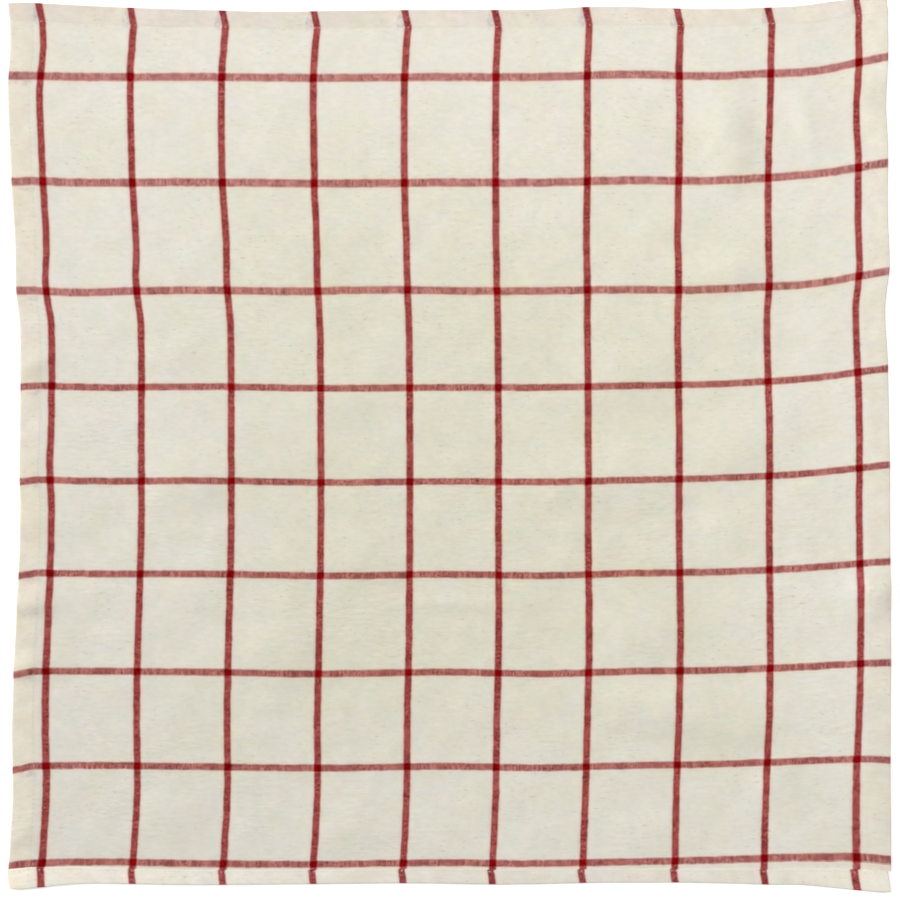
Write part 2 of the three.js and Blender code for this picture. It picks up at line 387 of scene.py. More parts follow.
def hem_slip(name, u, v):
    """How far a hem has slipped along its edge, and the cloth beside it that it drags along."""
    outer = along_hem(name, "outer_slip", u, v)
    inner = along_hem(name, "inner_slip", u, v)
    share = hem_share(name, u, v)
    slip = outer + (inner - outer) * np.clip(share, 0, 1)
    beyond = (share - 1) * along_hem(name, "width", u, v)
    drag = HEMS[name]["drag"]
    dragged = inner * np.clip(1 - beyond / drag, 0, 1) if drag else 0.0
    return np.where(share < FLAP_EDGE, slip, dragged)


def place_on_table(u, v):
    """Where points of the flat cloth lie in the frame, with pulls, slipped hems and blunt corners."""
    x, y = lay(u, v)
    for pull in PULLS:
        amount = fade_out(np.hypot((u - pull["u"]) / pull["wide"], (v - pull["v"]) / pull["tall"]), 1)
        x = x + pull["right"] * amount
        y = y + pull["up"] * amount
    for name in HEMS:
        slip = hem_slip(name, u, v)
        if OUTWARD[name][0]:
            y = y + slip
        else:
            x = x + slip
    flap = hem_share("bottom", u, v)
    end = fade_out(edge_distances(u, v)["right"], FLAP_END_REACH)
    x = x - np.where(flap < FLAP_EDGE, FLAP_END_INSET * flap * end, 0)
    for corner in CORNER_CUTS:
        from_corner = np.hypot(u - corner["right"] * WIDTH / 2, v - corner["up"] * LENGTH / 2)
        amount = corner["cut"] * fade_out(from_corner, corner["reach"])
        x = x - corner["right"] * amount
        y = y - corner["up"] * amount
    return x - MIDDLE_X, y - MIDDLE_Y


# Heights

def gentle_waves(u, v):
    """Slow unevenness from 0 to 1: many long waves in all directions, the same each time."""
    chance = np.random.RandomState(SEED)
    total = np.zeros_like(u)
    for _ in range(WAVE_COUNT):
        angle = chance.uniform(0, math.pi)
        length = chance.uniform(*WAVE_LENGTHS)
        phase = chance.uniform(0, 2 * math.pi)
        total += np.sin((u * math.cos(angle) + v * math.sin(angle)) * 2 * math.pi / length + phase)
    return np.clip(0.5 + total / (WAVE_SPREAD * math.sqrt(WAVE_COUNT)), 0, 1)


def ripple_lift(u, v):
    """Height of the cloth's underside above the table, from its ripples."""
    lift = np.zeros_like(u)
    for ripple in RIPPLES:
        angle = math.radians(ripple["turn"])
        du = u - ripple["u"]
        dv = v - ripple["v"]
        along = (du * math.cos(angle) + dv * math.sin(angle)) / (ripple["length"] / 2)
        across = (dv * math.cos(angle) - du * math.sin(angle)) / (ripple["width"] / 2)
        inside = (abs(along) < 1) & (abs(across) < 1)
        crest = (1 + np.cos(math.pi * along)) * (1 + np.cos(math.pi * across)) / 4
        lift += np.where(inside, ripple["height"] * crest, 0)
    return lift


def hem_rise(u, v):
    """How far the hems lift the cloth's face above the bare cloth's."""
    rises = {}
    for name, hem in HEMS.items():
        section = hem["section"]
        rises[name] = np.interp(hem_share(name, u, v), section["inset"], section["rise"])
    sides = np.maximum(rises["left"], rises["right"])
    ends = np.maximum(rises["top"], rises["bottom"])
    return np.maximum(sides, ends) + CORNER_OVERLAP * np.minimum(sides, ends)


def surfaces(u, v):
    """Heights of the cloth's face and underside, its outer fold rounded off."""
    away = edge_distances(u, v)
    nearest = np.minimum.reduce(list(away.values()))
    fullness = CLOTH_THICKNESS + hem_rise(u, v)
    round_off = 1 - np.clip(nearest / FOLD_ROUNDING, 0, 1)
    spread = np.maximum(np.sqrt(1 - round_off ** 2), FOLD_BLUNTNESS)
    off_edge = 1 - fade_out(nearest, WAVE_FADE)
    lift = ripple_lift(u, v) + WAVE_HEIGHT * off_edge * gentle_waves(u, v)
    face = lift + fullness * (1 + spread) / 2
    underside = lift + fullness * (1 - spread) / 2
    return face, underside


# Meshes

def new_mesh(name, points, faces, material):
    """A smooth-shaded object from points in millimetres."""
    mesh = bpy.data.meshes.new(name)
    mesh.from_pydata((np.asarray(points) * MM).tolist(), [], [tuple(face) for face in faces])
    mesh.polygons.foreach_set("use_smooth", np.ones(len(mesh.polygons), bool))
    mesh.materials.append(material)
    mesh.update()
    piece = bpy.data.objects.new(name, mesh)
    bpy.context.scene.collection.objects.link(piece)
    return piece


def across_grid(span, low_insets, high_insets):
    """Grid places from one edge to the other: lines at both hems' insets, and even ones between.

    The insets have a line in each row and a place along the edge in each column, and so does the grid."""
    low = low_insets - span / 2
    high = span / 2 - high_insets[::-1]
    step = np.linspace(0, 1, FIELD_CELLS + 1)[1:-1, None]
    inner = low[-1] + (high[0] - low[-1]) * step
    return np.concatenate([low, inner, high])


def hem_insets(name, along):
    """Distances from a hem's outer fold of the grid lines on it, at places along it."""
    hem = HEMS[name]
    width = np.interp(along, HEM_STATIONS, hem["width"])
    fold = np.repeat(np.array(FOLD_LINES)[:, None], len(along), axis=1)
    section = np.outer(hem["section"]["inset"], width)
    return np.sort(np.concatenate([fold, section]), axis=0)


def cloth_grid():
    """Flat places of the grid's points, in rows from the bottom up, with lines that follow the hems."""
    even = np.linspace(-LENGTH / 2, LENGTH / 2, GRID_LINES)
    columns = across_grid(WIDTH, hem_insets("left", even), hem_insets("right", even)).T
    middle = columns[len(columns) // 2]
    rows = across_grid(LENGTH, hem_insets("bottom", middle), hem_insets("top", middle))
    return columns, rows


def grid_faces(columns, rows):
    """Faces of a closed sheet whose face points come first and underside points after them."""
    point = np.arange(columns * rows).reshape(rows, columns)
    below = point + columns * rows
    face = np.stack([point[:-1, :-1], point[:-1, 1:], point[1:, 1:], point[1:, :-1]], -1)
    underside = np.stack([below[:-1, :-1], below[1:, :-1], below[1:, 1:], below[:-1, 1:]], -1)
    rim = np.concatenate([point[0, :], point[1:, -1], point[-1, -2::-1], point[-2:0:-1, 0]])
    following = np.roll(rim, -1)
    under = columns * rows
    wall = np.stack([rim + under, following + under, following, rim], -1)
    return np.concatenate([face.reshape(-1, 4), underside.reshape(-1, 4), wall])


def count_checks(places, at):
    """Place in the check from one edge, counted so that stripes lie at whole numbers."""
    stripes = np.arange(len(places))
    first_gap = places[1] - places[0]
    last_gap = places[-1] - places[-2]
    inside = np.interp(at, places, stripes)
    before = np.minimum(at - places[0], 0) / first_gap
    after = np.maximum(at - places[-1], 0) / last_gap
    return inside + before + after


def woven_place(u, v):
    """Place in the weave both ways, counted in checks."""
    return count_checks(COLUMN_PLACES, WIDTH / 2 + u), count_checks(ROW_PLACES, LENGTH / 2 - v)


def hem_cover(name, u, v):
    """How far each point is on a hem: one on it, easing to nothing at its inner edge."""
    fade = CRISP_COVER if HEMS[name]["section"] is TURNED_OVER else SOFT_COVER
    return fade_out(hem_share(name, u, v) - (1 - fade / 2), fade)


def ghost_of_hem(name, u, v):
    """A hem's turned layers that show through it: their place in the weave, and how much they show."""
    ghost = GHOSTS[name]
    share = hem_share(name, u, v)
    deepening = np.clip(share / GHOST_COMES, 0, 1)
    if OUTWARD[name][0]:
        off = np.interp(v, HEM_STATIONS, ghost["off"]) * deepening
        _, place = woven_place(u, v - off)
    else:
        off = np.interp(u, HEM_STATIONS, ghost["off"]) * deepening
        place, _ = woven_place(u - off, v)
    shows = ghost["strength"] * deepening * fade_out(share - GHOST_FADES, GHOST_END - GHOST_FADES)
    shows = shows * (1 - hem_cover("bottom", u, v))
    return place, shows, np.zeros_like(u)


def hem_tint_and_painted_light(u, v):
    """How the hems change the cloth's colour, as a share of red, green and blue: their layers' tint, a
    shade along each hem that is partly painted light and shade, and painted shade at the top fold.
    """
    tint = np.ones((len(u), 3))
    for name, hem in HEMS.items():
        full = np.outer(along_hem(name, "shade", u, v), hem["tint"])
        tint = tint * (1 + (full - 1) * hem_cover(name, u, v)[:, None])
    # Painted shade along the top hem's outer fold
    at_fold = fade_out(edge_distances(u, v)["top"], FOLD_PAINTED_SHADE_REACH)[:, None]
    return tint * (1 + (np.array(FOLD_PAINTED_SHADE) - 1) * at_fold)


def store_vectors(mesh, name, vectors):
    """Keeps one vector for each point of a mesh under a name that its material reads."""
    attribute = mesh.attributes.new(name, "FLOAT_VECTOR", "POINT")
    attribute.data.foreach_set("vector", np.asarray(vectors, np.float32).ravel())


def add_flat_map(mesh, u, v):
    """A map of the flat cloth, shared by its face and underside, with the outer wall's faces round it."""
    flat = np.stack([u / WIDTH, v / LENGTH], -1)
    corner_points = np.empty(len(mesh.loops), np.int32)
    mesh.loops.foreach_get("vertex_index", corner_points)
    places = np.concatenate([flat, flat])[corner_points] * FLAT_MAP_SHARE
    sheet_corners = SHEET_SIDES * QUAD_CORNERS * (GRID_LINES - 1) ** 2
    wall = np.arange(len(mesh.loops)) >= sheet_corners
    outer = wall & (corner_points >= len(u))
    places[outer] /= FLAT_MAP_SHARE
    layer = mesh.uv_layers.new(name="OFBake")
    layer.data.foreach_set("uv", (places + 0.5).astype(np.float32).ravel())


def make_cloth(material):
    """The napkin's cloth, hems included: one closed sheet."""
    columns, rows = cloth_grid()
    u, v = columns.ravel(), rows.ravel()
    x, y = place_on_table(u, v)
    face, underside = surfaces(u, v)
    points = np.concatenate([np.stack([x, y, face], -1), np.stack([x, y, underside], -1)])
    cloth = new_mesh("napkin_cloth", points, grid_faces(GRID_LINES, GRID_LINES), material)

    # On the turned-over hem the face shows cloth from beyond the fold
    face_v = np.where(hem_share("bottom", u, v) < FLAP_EDGE, -LENGTH - v, v)
    layers = np.maximum.reduce([hem_cover(name, u, v) for name in HEMS])
    # The stored tint holds the hems' colour together with painted light and shade along them
    for name, vectors in (
        ("weave", np.stack([*woven_place(u, face_v), layers], -1)),
        ("top_ghost", np.stack(ghost_of_hem("top", u, v), -1)),
        ("left_ghost", np.stack(ghost_of_hem("left", u, v), -1)),
        ("tint", hem_tint_and_painted_light(u, v)),
    ):
        store_vectors(cloth.data, name, np.concatenate([vectors, vectors]))
    add_flat_map(cloth.data, u, v)
    return cloth


def stitch_shape():
    """One stitch along X: rings of a thread that dives into the cloth at both ends."""
    ring_at = np.linspace(-1, 1, THREAD_RINGS)
    turn = np.arange(THREAD_SIDES) * 2 * math.pi / THREAD_SIDES
    points = []
    for share in ring_at:
        radius = THREAD_RADIUS * max(math.sqrt(1 - share ** 4), STITCH_TAPER)
        height = THREAD_RADIUS * (STITCH_RISE - STITCH_DIVE * share ** 4)
        for angle in turn:
            along = share * STITCH_LENGTH / 2
            points.append((along, radius * math.cos(angle), height + radius * math.sin(angle)))
    faces = []
    for ring in range(THREAD_RINGS - 1):
        for side in range(THREAD_SIDES):
            a = ring * THREAD_SIDES + side
            b = ring * THREAD_SIDES + (side + 1) % THREAD_SIDES
            faces.append((a, b, b + THREAD_SIDES, a + THREAD_SIDES))
    faces.append(tuple(range(THREAD_SIDES - 1, -1, -1)))
    last = (THREAD_RINGS - 1) * THREAD_SIDES
    faces.append(tuple(range(last, last + THREAD_SIDES)))
    return np.array(points), faces


def seam_places():
    """Flat places of the stitches' middles and the direction each one runs in."""
    places = []
    for name, hem in HEMS.items():
        out_u, out_v = OUTWARD[name]
        half = (LENGTH if out_u else WIDTH) / 2
        for along in np.arange(-half + SEAM_END, half - SEAM_END, STITCH_PITCH):
            inset = hem["section"]["seam"] * np.interp(along, HEM_STATIONS, hem["width"])
            if out_u:
                places.append((out_u * (WIDTH / 2 - inset), along, 0, 1))
            else:
                places.append((along, out_v * (LENGTH / 2 - inset), 1, 0))
    return np.array(places, float)


def make_stitches(material):
    """The hems' sewing: one joined mesh of single stitches that lie on the cloth."""
    shape, shape_faces = stitch_shape()
    places = seam_places()
    u, v, run_u, run_v = places.T
    reach = STITCH_LENGTH / 2
    x0, y0 = place_on_table(u - reach * run_u, v - reach * run_v)
    x1, y1 = place_on_table(u + reach * run_u, v + reach * run_v)
    z, _ = surfaces(u, v)
    chance = np.random.RandomState(SEED)
    heading = np.arctan2(y1 - y0, x1 - x0) + chance.normal(0, STITCH_STRAY, len(places))
    points = []
    faces = []
    for i in range(len(places)):
        cos, sin = math.cos(heading[i]), math.sin(heading[i])
        placed_x = (x0[i] + x1[i]) / 2 + shape[:, 0] * cos - shape[:, 1] * sin
        placed_y = (y0[i] + y1[i]) / 2 + shape[:, 0] * sin + shape[:, 1] * cos
        first = i * len(shape)
        points.append(np.stack([placed_x, placed_y, z[i] + shape[:, 2]], -1))
        faces += [tuple(first + k for k in face) for face in shape_faces]
    return new_mesh("hem_stitches", np.concatenate(points), faces, material)


# Materials

class Graph:
    """Short ways to add and join a material's nodes: values may be numbers or other nodes' outputs."""

    # Sockets of a node that mixes colours
    MIX_FACTOR = 0
    MIX_A = 6
    MIX_B = 7
    MIX_RESULT = 2

    def __init__(self, name):
        self.material = bpy.data.materials.new(name)
        self.material.use_nodes = True
        self.tree = self.material.node_tree
        self.shader = self.tree.nodes["Principled BSDF"]

    def feed(self, socket, value):
        if isinstance(value, bpy.types.NodeSocket):
            self.tree.links.new(value, socket)
        else:
            socket.default_value = value

    def attribute(self, name):
        node = self.tree.nodes.new("ShaderNodeAttribute")
        node.attribute_name = name
        return node.outputs["Vector"]

    def split(self, vector):
        node = self.tree.nodes.new("ShaderNodeSeparateXYZ")
        self.feed(node.inputs[0], vector)
        return node.outputs

    def join(self, x, y, z):
        node = self.tree.nodes.new("ShaderNodeCombineXYZ")
        for socket, value in zip(node.inputs, (x, y, z)):
            self.feed(socket, value)
        return node.outputs[0]

    def math(self, operation, *values, clamp=False):
        node = self.tree.nodes.new("ShaderNodeMath")
        node.operation = operation
        node.use_clamp = clamp
        for socket, value in zip(node.inputs, values):
            self.feed(socket, value)
        return node.outputs[0]

    def add(self, a, b):
        return self.math("ADD", a, b)

    def subtract(self, a, b):
        return self.math("SUBTRACT", a, b)

    def times(self, a, b):
        return self.math("MULTIPLY", a, b)

    def times_and_add(self, a, b, c):
        return self.math("MULTIPLY_ADD", a, b, c)

    def larger(self, a, b):
        return self.math("MAXIMUM", a, b)

    def apart(self, a, b):
        return self.math("ABSOLUTE", self.subtract(a, b))

    def remap(self, value, low, high, to_low=0.0, to_high=1.0):
        node = self.tree.nodes.new("ShaderNodeMapRange")
        node.interpolation_type = "SMOOTHSTEP"
        for socket, number in zip(node.inputs, (value, low, high, to_low, to_high)):
            self.feed(socket, number)
        return node.outputs[0]

    def noise(self, vector, scale, detail, roughness):
        node = self.tree.nodes.new("ShaderNodeTexNoise")
        node.noise_dimensions = "3D"
        self.feed(node.inputs["Vector"], vector)
        self.feed(node.inputs["Scale"], scale)
        self.feed(node.inputs["Detail"], detail)
        self.feed(node.inputs["Roughness"], roughness)
        return node.outputs[0]

    def mix(self, factor, a, b, blend="MIX"):
        node = self.tree.nodes.new("ShaderNodeMix")
        node.data_type = "RGBA"
        node.blend_type = blend
        self.feed(node.inputs[self.MIX_FACTOR], factor)
        self.feed(node.inputs[self.MIX_A], a)
        self.feed(node.inputs[self.MIX_B], b)
        return node.outputs[self.MIX_RESULT]

    def dyed(self, colour, dye):
        return self.mix(1.0, colour, dye, "MULTIPLY")

    def partly_dyed(self, share, colour, dye):
        return self.mix(share, colour, self.dyed(colour, dye))

    def bump(self, height, distance, strength):
        node = self.tree.nodes.new("ShaderNodeBump")
        self.feed(node.inputs["Strength"], strength)
        self.feed(node.inputs["Distance"], distance)
        self.feed(node.inputs["Height"], height)
        self.feed(self.shader.inputs["Normal"], node.outputs[0])

    def set(self, **values):
        for name, value in values.items():
            self.feed(self.shader.inputs[name.replace("_", " ")], value)


# Colours, in linear light
CREAM_WARM = (0.692, 0.666, 0.539, 1)
CREAM_COOL = (0.737, 0.706, 0.621, 1)
RED = (0.3, 0.026, 0.026, 1)
CRIMSON = (0.238, 0.002, 0.004, 1)
WHITE = (1, 1, 1, 1)
GHOST_TINT = (0.77, 0.76, 0.86, 1)
# Dark flecks: partly slubs, partly painted shade of small creases
DARK_FLECK_AND_CREASE_SHADE = (0.86, 0.85, 0.83, 1)
LIGHT_SLUB = (1.03, 1.03, 1.03, 1)
DARK_SPECK = (0.57, 0.48, 0.56, 1)
LIGHT_SPECK = (1.03, 1.06, 1.06, 1)
HEM_DULL = (0.97, 0.955, 0.945, 1)
HEM_BRIGHT = (1.03, 1.03, 1.03, 1)
HEM_RED = (0.9, 0.94, 1, 1)
THREAD_DARK = (0.64, 0.6, 0.5, 1)
THREAD_LIGHT = (0.78, 0.74, 0.63, 1)
FLOOR_WHITE = (0.93, 0.93, 0.93, 1)

# Variations of the cloth, each a noise: how fast it changes across and down with what it is counted in,
# which is checks, threads or stripes, the layer of the noise it is cut from, and its fine detail
VARIATIONS = {
    "push_right": dict(across=3.0, down=5.0, layer=0.0, detail=5.0, roughness=0.6),
    "push_down": dict(across=5.0, down=3.0, layer=7.0, detail=5.0, roughness=0.6),
    "rungs_down": dict(across=0.25, down=0.7, layer=7.3, detail=2.0, roughness=0.5),
    "slow_down": dict(across=3.1, down=9.0, layer=0.0, detail=3.0, roughness=0.5),
    "rungs_across": dict(across=0.7, down=0.13, layer=7.3, detail=2.0, roughness=0.5),
    "slow_across": dict(across=9.0, down=3.1, layer=0.0, detail=3.0, roughness=0.5),
    "patches": dict(across=1.1, down=1.1, layer=3.3, detail=3.0, roughness=0.6),
    "mottling": dict(across=5.0, down=6.0, layer=17.0, detail=2.0, roughness=0.5),
    "rosy": dict(across=3.5, down=3.8, layer=31.0, detail=4.0, roughness=0.95),
    "bluish": dict(across=2.5, down=2.8, layer=37.0, detail=4.0, roughness=0.85),
    "streaks": dict(across=11.0, down=0.27, layer=0.0, detail=2.0, roughness=0.5),
    "slubs": dict(across=13.0, down=38.0, layer=5.0, detail=1.0, roughness=0.5),
    "fleck_patches": dict(across=2.2, down=2.2, layer=94.6, detail=2.0, roughness=0.5),
    "specks": dict(across=0.42, down=0.42, layer=11.0, detail=2.0, roughness=0.7),
    "hem_mottling": dict(across=4.5, down=4.5, layer=13.0, detail=3.0, roughness=0.5),
    "ghost_patches": dict(across=16.0, down=16.0, layer=9.0, detail=4.0, roughness=0.7),
    "crinkles": dict(across=8.0, down=22.0, layer=23.0, detail=2.0, roughness=0.5),
    "crinkle_patches": dict(across=1.6, down=1.6, layer=46.4, detail=2.0, roughness=0.5),
}

# How they are read: between which two values, and what each of the two gives if not 0 and 1
READ_PATCHES = (0.3, 0.7, 0.0, 0.42)
READ_MOTTLING = (0.25, 0.75, 0.978, 1.022)
READ_STREAKS = (0.2, 0.8, 0.97, 1.03)
READ_DARK_SLUBS_AND_CREASE_SHADE = (0.62, 0.75)
READ_FLECK_PATCHES = (0.4, 0.66, 0.2, 1.0)
READ_LIGHT_SLUBS = (0.3, 0.22)
READ_DARK_SPECKS = (0.5, 0.64)
READ_LIGHT_SPECKS = (0.5, 0.36)
READ_HEM_MOTTLING = (0.3, 0.7)
READ_GHOST_PATCHES = (0.38, 0.6, 0.1, 1.0)
READ_CRINKLE_PATCHES = (0.42, 0.68)
NOISE_MEAN = 0.5

# The check in the middle of the cloth, how many checks from it the yellowing fades and ends, and how
# yellow the cloth is there
MIDDLE_CHECK = (4.9, 3.9)
READ_YELLOWING = (1.5, 4.2, 0.66, -0.1)

# How far the cream's hue strays between green and pink, and between yellow and blue. Green strays a
# share as far as red does, the other way
PINK_STRAY = 0.19
GREEN_SHARE = -0.25
BLUE_STRAY = 0.31

# What cream threads keep of their colour over red ones: picks over red ends, and ends over red picks
# in the looser weave near the top and below it
OVER_RED_ENDS = (0.63, 0.18, 0.183, 1)
OVER_RED_PICKS_TOP = (0.82, 0.421, 0.427, 1)
OVER_RED_PICKS = (0.7, 0.295, 0.297, 1)
LOOSE_ROWS = (1.9, 3.1)

# How many threads narrower the red of a row is, on each side, below those rows
TIGHT_NARROWING = 0.2

# Tint of the cream beside a stripe, and how many threads further than the red it reaches
BLUSH = (0.98, 0.938, 0.93, 1)
BLUSH_REACH = 2.6

# A stripe's outer threads are darker and those beside them rosier: where each band begins and ends, in
# threads from the stripe's middle, and its shade
STRIPE_SIDES = (
    dict(begins=(1.4, 2.3), ends=(2.9, 3.7), shade=(0.87, 1.03, 1.03, 1)),
    dict(begins=(3.4, 4.2), ends=(4.8, 5.6), shade=(1.15, 1.02, 1.02, 1)),
)

# Unevenness along the stripes: how much single threads differ beside slower changes, how far below its
# mean it goes, and what it does to the red that shows through and to the dye
RUNG_SHARE = 1.5
UNEVEN_MEAN = NOISE_MEAN * (1 + RUNG_SHARE)
UNEVEN_LEAST = -0.17
UNEVEN_VEIL = 1.0
UNEVEN_DYE = -1.0

# Stripes that show through a hem: where they fade and end, in checks from their middle
READ_GHOST_STRIPE = (0.02, 0.05, 1.0, 0.0)

# The threads' own relief: how far each rises and falls and how round it is, in thread heights, how much
# the ends show over the picks, and how sharply one gives way to the other
THREAD_SWAY = 0.5
THREAD_ROUND = 0.6
END_COVER = 0.35
READ_END_SHOWS = (-0.3, 0.3)

# Height of crinkles in and out of their patches, in thread heights
CRINKLE_PATCHES = 6.0
CRINKLE_LEAST = 1.7

# Sideways wander of threads, in threads
WANDER = 1.1

# Finish of the cloth and of the sewing thread: heights are in millimetres
CLOTH_FINISH = dict(Roughness=0.95, Specular_IOR_Level=0.02)
THREAD_HEIGHT = 0.08
WEAVE_STRENGTH = 0.7
THREAD_FINISH = dict(Roughness=0.7, Specular_IOR_Level=0.3)
FUZZ = dict(scale=1500.0, detail=3.0, roughness=0.5)
FUZZ_HEIGHT = 0.05
FUZZ_STRENGTH = 0.6
FLOOR_FINISH = dict(Roughness=1.0, Specular_IOR_Level=0.0, Emission_Strength=0.25)


def vary(graph, name, across, down, stripe=None):
    """One of the cloth's variations at a place, with a layer of its own for each stripe if one is given."""
    kind = VARIATIONS[name]
    layer = kind["layer"] if stripe is None else graph.times(stripe, kind["layer"])
    place = graph.join(graph.times(across, kind["across"]), graph.times(down, kind["down"]), layer)
    return graph.noise(place, 1.0, kind["detail"], kind["roughness"])


def wander(graph, name, across, down):
    """A slow push of the threads to either side, in threads."""
    return graph.times(graph.subtract(vary(graph, name, across, down), NOISE_MEAN), 2 * WANDER)


def stray(graph, value, reach):
    """A share of colour that strays about one with a noise, by half the reach to either side."""
    return graph.times_and_add(value, reach, 1 - reach * NOISE_MEAN)


def from_stripe(graph, thread, per_check):
    """Distance of a thread from the nearest stripe's middle, in threads: one lies at each whole check."""
    middle = graph.math("DIVIDE", graph.add(thread, 0.5), float(per_check))
    return graph.times(graph.math("PINGPONG", middle, 0.5), float(per_check))


def red_stripe(graph, off, wider=0.0):
    """How red a thread at some distance from a stripe's middle is."""
    return graph.remap(graph.subtract(off, wider), RED_FADES, RED_ENDS_AT, 1.0, 0.0)


def in_band(graph, off, band):
    """How far a thread at some distance from a stripe's middle is in a band beside it."""
    return graph.times(graph.remap(off, *band["begins"]), graph.remap(off, *band["ends"], 1.0, 0.0))


def stripe_unevenness(graph, rungs, slow):
    """Unevenness along a stripe, about nothing and never far below it."""
    both = graph.times_and_add(rungs, RUNG_SHARE, slow)
    return graph.larger(graph.subtract(both, UNEVEN_MEAN), UNEVEN_LEAST)


def thread_top(graph, lift, counted):
    """Height of a thread that rises and falls along its length and is round across it."""
    rounding = graph.math("SINE", graph.times(graph.math("FRACT", counted), math.pi))
    return graph.times_and_add(lift, THREAD_SWAY, graph.times(rounding, THREAD_ROUND))


def cream_colour(graph, across, down, pick):
    """Cream threads, yellowed in the middle and in patches, with streaks and slubs along the picks, and
    dark flecks in patches that are partly slubs and partly painted shade of small creases.
    """
    middle_across, middle_down = MIDDLE_CHECK
    from_middle = graph.larger(graph.apart(across, middle_across), graph.apart(down, middle_down))
    in_middle = graph.remap(from_middle, *READ_YELLOWING)
    in_patches = graph.remap(vary(graph, "patches", across, down), *READ_PATCHES)
    yellowing = graph.math("ADD", in_middle, in_patches, clamp=True)
    cream = graph.mix(yellowing, CREAM_COOL, CREAM_WARM)
    mottled = graph.remap(vary(graph, "mottling", across, down), *READ_MOTTLING)
    cream = graph.dyed(cream, graph.join(mottled, mottled, mottled))
    rosy = vary(graph, "rosy", across, down)
    bluish = vary(graph, "bluish", across, down)
    hue_red = stray(graph, rosy, PINK_STRAY)
    hue_green = stray(graph, rosy, PINK_STRAY * GREEN_SHARE)
    hue_blue = stray(graph, bluish, BLUE_STRAY)
    cream = graph.dyed(cream, graph.join(hue_red, hue_green, hue_blue))
    streak = graph.remap(vary(graph, "streaks", across, pick), *READ_STREAKS)
    cream = graph.dyed(cream, graph.join(streak, streak, streak))
    # Dark flecks in patches are partly slubs and partly painted shade of small creases; light slubs are the
    # threads' own
    slubs = vary(graph, "slubs", across, down)
    fleck_patches = graph.remap(vary(graph, "fleck_patches", across, down), *READ_FLECK_PATCHES)
    flecks_and_crease_shade = graph.times(graph.remap(slubs, *READ_DARK_SLUBS_AND_CREASE_SHADE), fleck_patches)
    cream = graph.partly_dyed(flecks_and_crease_shade, cream, DARK_FLECK_AND_CREASE_SHADE)
    return graph.partly_dyed(graph.remap(slubs, *READ_LIGHT_SLUBS), cream, LIGHT_SLUB)


